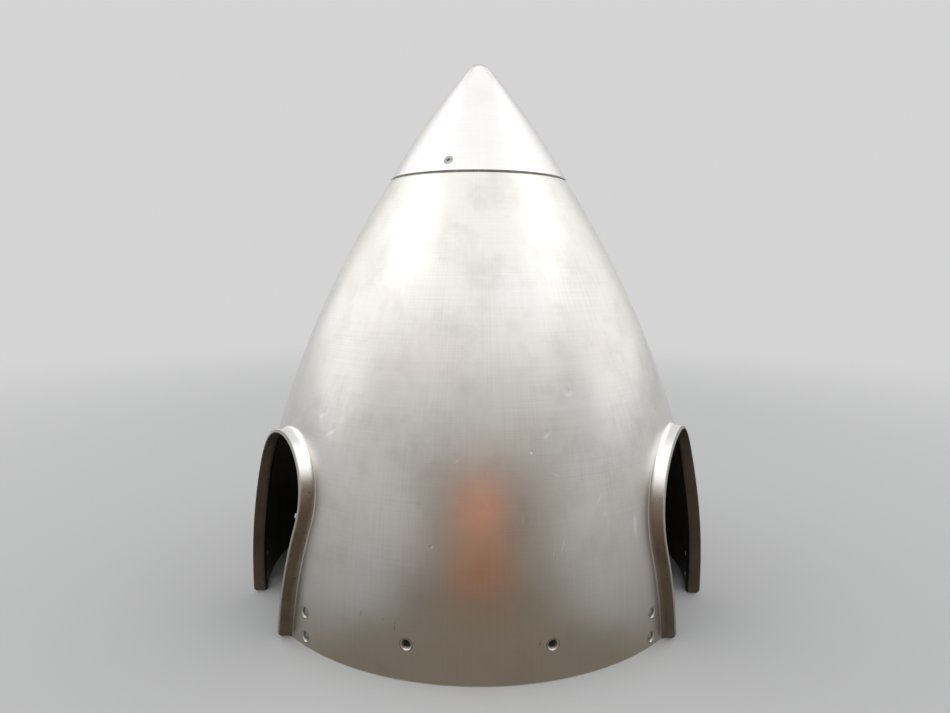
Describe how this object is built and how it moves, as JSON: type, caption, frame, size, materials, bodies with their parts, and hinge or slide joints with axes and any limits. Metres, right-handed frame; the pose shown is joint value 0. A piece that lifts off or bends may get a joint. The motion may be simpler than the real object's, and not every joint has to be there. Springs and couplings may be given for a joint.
{
  "type": "propeller spinner",
  "caption": "Pointed sheet aluminium fairing for an aircraft propeller hub, open at its base, with flanged blade cutouts and a separate screwed-on nose cap.",
  "frame": {"origin": "centre of the open base, level with the base rim", "axes": "+Z along the propeller shaft towards the nose tip; -Y through the middle of the wall section opposite one blade cutout, whose blade axis is +Y"},
  "size_m": [0.4088, 0.4119, 0.4772],
  "materials": {
    "shell_aluminium": "satin, fine brushed streaks",
    "cap_aluminium": "satin polished",
    "screw_steel": "plain",
    "nut_steel": "dull",
    "rivet_aluminium": "dull"
  },
  "bodies": {
    "root": {"spinner_shell": "shell_aluminium", "nose_cap": "cap_aluminium", "cap_screw_1": "screw_steel", "cap_screw_2": "screw_steel", "cap_screw_3": "screw_steel", "anchor_nut_1": "nut_steel", "anchor_nut_2": "nut_steel", "anchor_nut_3": "nut_steel", "lug_rivet_1": "rivet_aluminium", "lug_rivet_2": "rivet_aluminium", "lug_rivet_3": "rivet_aluminium", "lug_rivet_4": "rivet_aluminium", "lug_rivet_5": "rivet_aluminium", "lug_rivet_6": "rivet_aluminium"}
  },
  "joints": []
}
